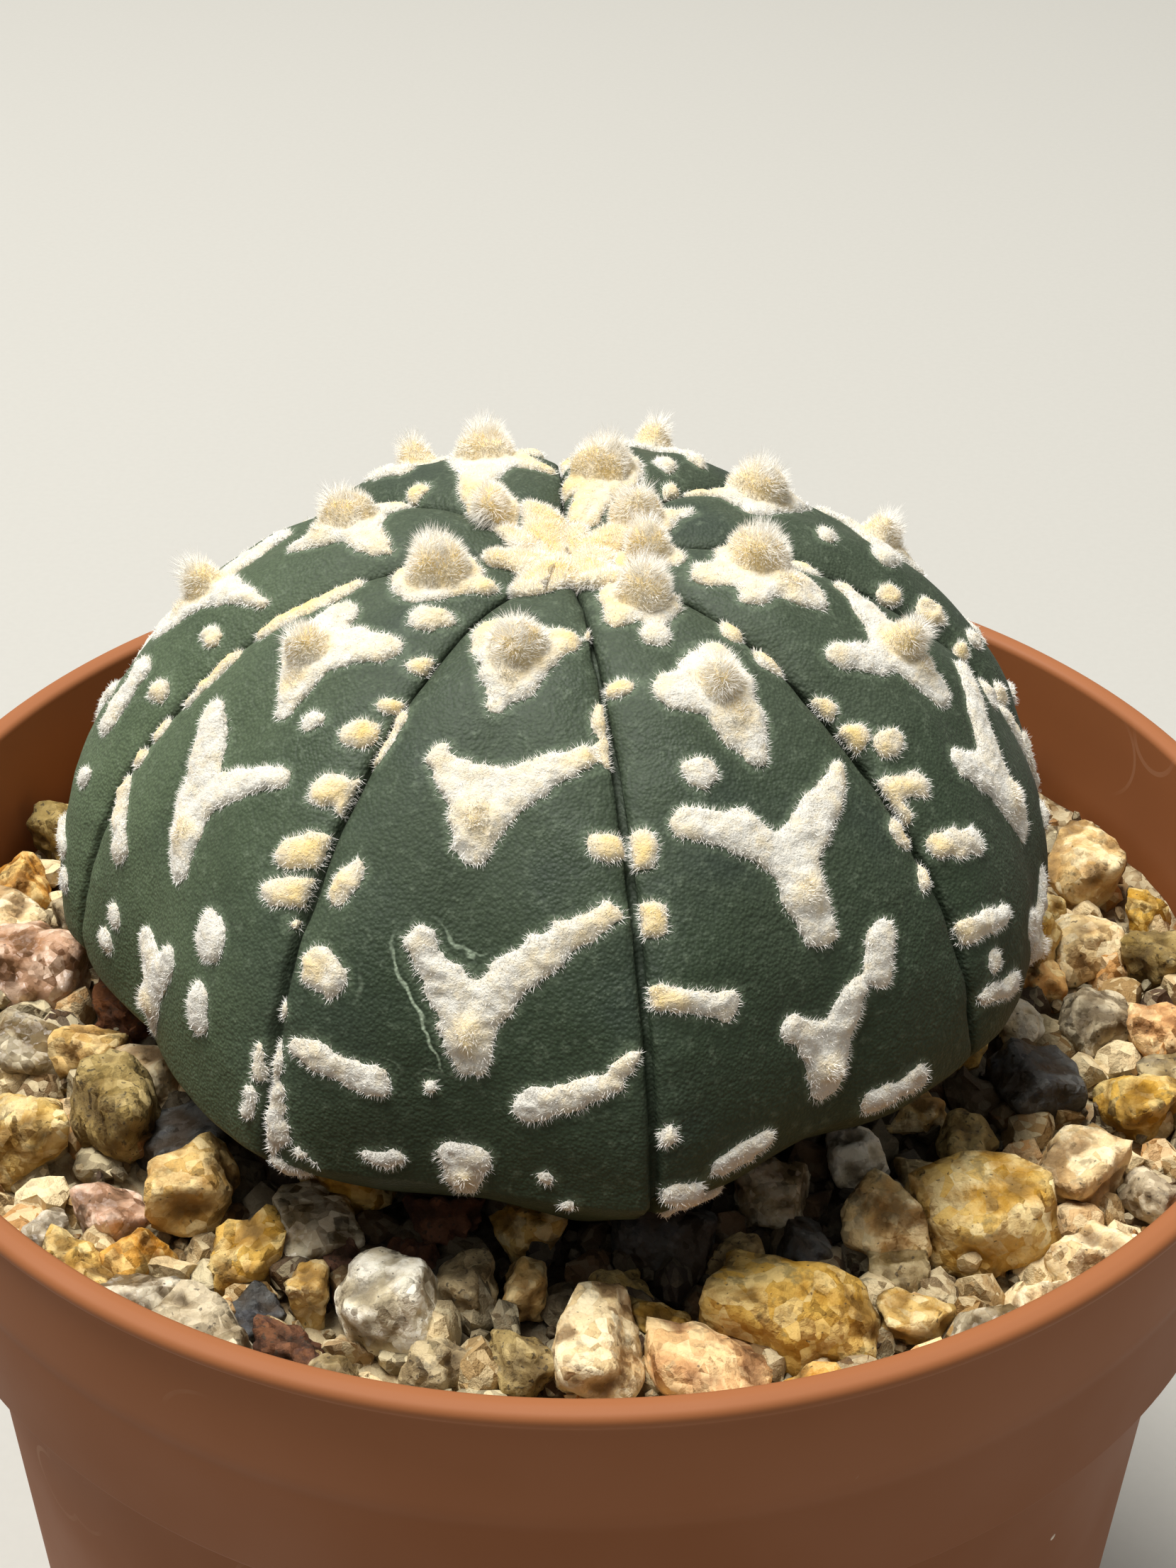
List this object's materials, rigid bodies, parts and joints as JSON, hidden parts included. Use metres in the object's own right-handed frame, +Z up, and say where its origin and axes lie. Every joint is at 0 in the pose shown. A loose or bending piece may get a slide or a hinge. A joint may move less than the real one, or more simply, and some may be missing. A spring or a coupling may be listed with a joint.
{
  "type": "potted star cactus",
  "caption": "Low domed star cactus with broad ribs, woolly areoles and forked white felt marks, rooted under mixed grit in a round plastic pot.",
  "frame": {"origin": "centre of the pot's foot, on the surface it stands on", "axes": "+Z up along the pot's axis, -Y towards the plant's front"},
  "size_m": [0.1, 0.1, 0.1136],
  "materials": {
    "pot_plastic": "terracotta brown moulded polypropylene, satin",
    "compost": "gritty dark brown cactus compost, matt",
    "grit": "mixed quartz, feldspar, granite and pumice grit, dry",
    "plant_skin": "grey-green cactus skin, finely pebbled, satin",
    "felt": "white to cream plant felt, matt",
    "wool": "cream to golden areole wool, matt"
  },
  "bodies": {
    "root": {"pot": "pot_plastic", "soil": "compost", "gravel": "grit", "cactus": "plant_skin"}
  },
  "joints": []
}
